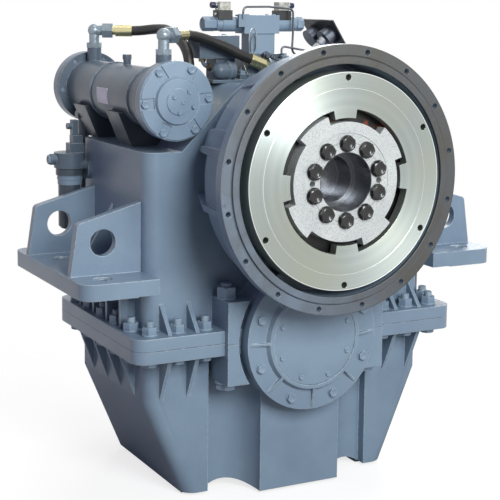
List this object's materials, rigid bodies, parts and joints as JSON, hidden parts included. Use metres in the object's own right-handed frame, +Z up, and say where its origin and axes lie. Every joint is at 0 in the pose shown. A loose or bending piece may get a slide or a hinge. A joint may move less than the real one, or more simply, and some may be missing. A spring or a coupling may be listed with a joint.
{
  "type": "marine gearbox",
  "caption": "Marine reverse and reduction gearbox with flywheel housing, elastic coupling, oil cooler, control valve, mounting feet and output flange.",
  "frame": {"origin": "centre of the flywheel housing's bolting face, on the input shaft's axis", "axes": "-Y along the input axis towards the engine, +Z up, +X to the right as seen from the engine; the output axis is 0.45 m below the input axis"},
  "size_m": [1.29, 1.0715, 1.354],
  "materials": {
    "upper_casing": "gloss grey-blue enamel",
    "lower_casing": "gloss grey-blue enamel",
    "mounting_feet": "gloss grey-blue enamel",
    "bell_housing": "gloss grey-blue enamel",
    "casing_bolts": "zinc plated",
    "casing_nuts": "black oxide",
    "cover_bolts": "black oxide",
    "output_front_cover": "gloss grey-blue enamel",
    "output_cover_plate": "gloss grey-blue enamel",
    "output_rear_cover": "gloss grey-blue enamel",
    "shaft_seals": "black rubber",
    "shaft_covers": "gloss grey-blue enamel",
    "bearing_outer_rings": "ground steel with an oil film",
    "oil_pump_housing": "gloss grey-blue enamel",
    "cooler_shell": "gloss grey-blue enamel",
    "cooler_caps": "gloss grey-blue enamel",
    "cooler_saddles": "gloss grey-blue enamel",
    "cooler_fittings": "yellow plated brass",
    "hoses": "black rubber",
    "hose_ferrules": "yellow plated brass",
    "valve_base": "gloss grey-blue enamel",
    "valve_body": "gloss grey-blue enamel",
    "valve_end_caps": "zinc plated",
    "solenoid_coils": "black moulded plastic",
    "coil_connectors": "clear",
    "relief_block": "gloss grey-blue enamel",
    "steel_pipes": "zinc plated",
    "gauge_panel": "gloss grey-blue enamel",
    "gauge_cans": "black gauge case with a white dial",
    "gauge_glasses": "clear",
    "filter_head": "gloss grey-blue enamel",
    "filter_bowl": "gloss grey-blue enamel",
    "dipstick_tube": "gloss grey-blue enamel",
    "drive_ring": "turned bright steel",
    "hub_spider": "light grey speckled casting",
    "coupling_rubber": "black rubber",
    "hub_bolts": "black oxide",
    "input_shaft": "ground steel with an oil film",
    "input_inner_rings": "ground steel with an oil film",
    "ahead_clutch_drum": "ground steel with an oil film",
    "ahead_steel_plates": "ground steel with an oil film",
    "reverse_shaft": "ground steel with an oil film",
    "reverse_inner_rings": "ground steel with an oil film",
    "astern_clutch_drum": "ground steel with an oil film",
    "astern_steel_plates": "ground steel with an oil film",
    "ahead_pinion": "ground steel with an oil film",
    "ahead_friction_plates": "sintered friction lining",
    "astern_pinion": "ground steel with an oil film",
    "astern_friction_plates": "sintered friction lining",
    "output_shaft": "ground steel with an oil film",
    "output_gear": "ground steel with an oil film",
    "output_inner_rings": "ground steel with an oil film",
    "output_flange": "turned bright steel",
    "pump_idler_gear": "ground steel with an oil film",
    "ahead_piston": "ground steel with an oil film",
    "astern_piston": "ground steel with an oil film",
    "valve_spool": "ground steel with an oil film",
    "pressure_needle": "red needle",
    "temperature_needle": "red needle",
    "dipstick": "zinc plated"
  },
  "bodies": {
    "casing": {"upper_casing": "upper_casing", "lower_casing": "lower_casing", "mounting_feet": "mounting_feet", "bell_housing": "bell_housing", "casing_bolts": "casing_bolts", "casing_nuts": "casing_nuts", "cover_bolts": "cover_bolts", "output_front_cover": "output_front_cover", "output_cover_plate": "output_cover_plate", "output_rear_cover": "output_rear_cover", "shaft_seals": "shaft_seals", "shaft_covers": "shaft_covers", "bearing_outer_rings": "bearing_outer_rings", "oil_pump_housing": "oil_pump_housing", "cooler_shell": "cooler_shell", "cooler_caps": "cooler_caps", "cooler_saddles": "cooler_saddles", "cooler_fittings": "cooler_fittings", "hoses": "hoses", "hose_ferrules": "hose_ferrules", "valve_base": "valve_base", "valve_body": "valve_body", "valve_end_caps": "valve_end_caps", "solenoid_coils": "solenoid_coils", "coil_connectors": "coil_connectors", "relief_block": "relief_block", "steel_pipes": "steel_pipes", "gauge_panel": "gauge_panel", "gauge_cans": "gauge_cans", "gauge_glasses": "gauge_glasses", "filter_head": "filter_head", "filter_bowl": "filter_bowl", "dipstick_tube": "dipstick_tube"},
    "input_line": {"drive_ring": "drive_ring", "hub_spider": "hub_spider", "coupling_rubber": "coupling_rubber", "hub_bolts": "hub_bolts", "input_shaft": "input_shaft", "input_inner_rings": "input_inner_rings", "ahead_clutch_drum": "ahead_clutch_drum", "ahead_steel_plates": "ahead_steel_plates"},
    "reverse_line": {"reverse_shaft": "reverse_shaft", "reverse_inner_rings": "reverse_inner_rings", "astern_clutch_drum": "astern_clutch_drum", "astern_steel_plates": "astern_steel_plates"},
    "ahead_pinion": {"ahead_pinion": "ahead_pinion", "ahead_friction_plates": "ahead_friction_plates"},
    "astern_pinion": {"astern_pinion": "astern_pinion", "astern_friction_plates": "astern_friction_plates"},
    "output_line": {"output_shaft": "output_shaft", "output_gear": "output_gear", "output_inner_rings": "output_inner_rings", "output_flange": "output_flange"},
    "pump_idler": {"pump_idler_gear": "pump_idler_gear"},
    "ahead_piston": {"ahead_piston": "ahead_piston"},
    "astern_piston": {"astern_piston": "astern_piston"},
    "valve_spool": {"valve_spool": "valve_spool"},
    "pressure_needle": {"pressure_needle": "pressure_needle"},
    "temperature_needle": {"temperature_needle": "temperature_needle"},
    "dipstick": {"dipstick": "dipstick"}
  },
  "joints": [
    {"name": "input_spin", "type": "hinge", "parent": "casing", "child": "input_line", "pos_m": [0, 0, 0], "axis": [0, 1, 0], "continuous": true},
    {"name": "reverse_shaft_spin", "type": "hinge", "parent": "casing", "child": "reverse_line", "pos_m": [0.22953, 0, -0.06294], "axis": [0, 1, 0], "continuous": true},
    {"name": "output_spin", "type": "hinge", "parent": "casing", "child": "output_line", "pos_m": [0, 0, -0.45], "axis": [0, 1, 0], "continuous": true},
    {"name": "ahead_pinion_spin", "type": "hinge", "parent": "casing", "child": "ahead_pinion", "pos_m": [0, 0, 0], "axis": [0, 1, 0], "continuous": true},
    {"name": "astern_pinion_spin", "type": "hinge", "parent": "casing", "child": "astern_pinion", "pos_m": [0.22953, 0, -0.06294], "axis": [0, 1, 0], "continuous": true},
    {"name": "pump_idler_spin", "type": "hinge", "parent": "casing", "child": "pump_idler", "pos_m": [0.22953, 0, -0.11894], "axis": [0, 1, 0], "continuous": true},
    {"name": "ahead_piston_slide", "type": "slide", "parent": "input_line", "child": "ahead_piston", "axis": [0, 1, 0], "range_m": [0, 0.006]},
    {"name": "astern_piston_slide", "type": "slide", "parent": "reverse_line", "child": "astern_piston", "axis": [0, 1, 0], "range_m": [0, 0.006]},
    {"name": "valve_spool_slide", "type": "slide", "parent": "casing", "child": "valve_spool", "axis": [1, 0, 0], "range_m": [-0.006, 0.006]},
    {"name": "pressure_needle_turn", "type": "hinge", "parent": "casing", "child": "pressure_needle", "pos_m": [0.20482, 0.498, 0.36983], "axis": [-0.8387, 0, -0.5446], "range_deg": [0, 270]},
    {"name": "temperature_needle_turn", "type": "hinge", "parent": "casing", "child": "temperature_needle", "pos_m": [0.20482, 0.414, 0.36983], "axis": [-0.8387, 0, -0.5446], "range_deg": [0, 270]},
    {"name": "dipstick_slide", "type": "slide", "parent": "casing", "child": "dipstick", "axis": [0, 0, 1], "range_m": [0, 0.76]}
  ],
  "couplings": [
    {"joint": "reverse_shaft_spin", "follows": "input_spin", "ratio": -1},
    {"joint": "pump_idler_spin", "follows": "input_spin", "ratio": 1},
    {"joint": "ahead_pinion_spin", "follows": "output_spin", "ratio": -3.2857},
    {"joint": "astern_pinion_spin", "follows": "output_spin", "ratio": -3.2857}
  ]
}
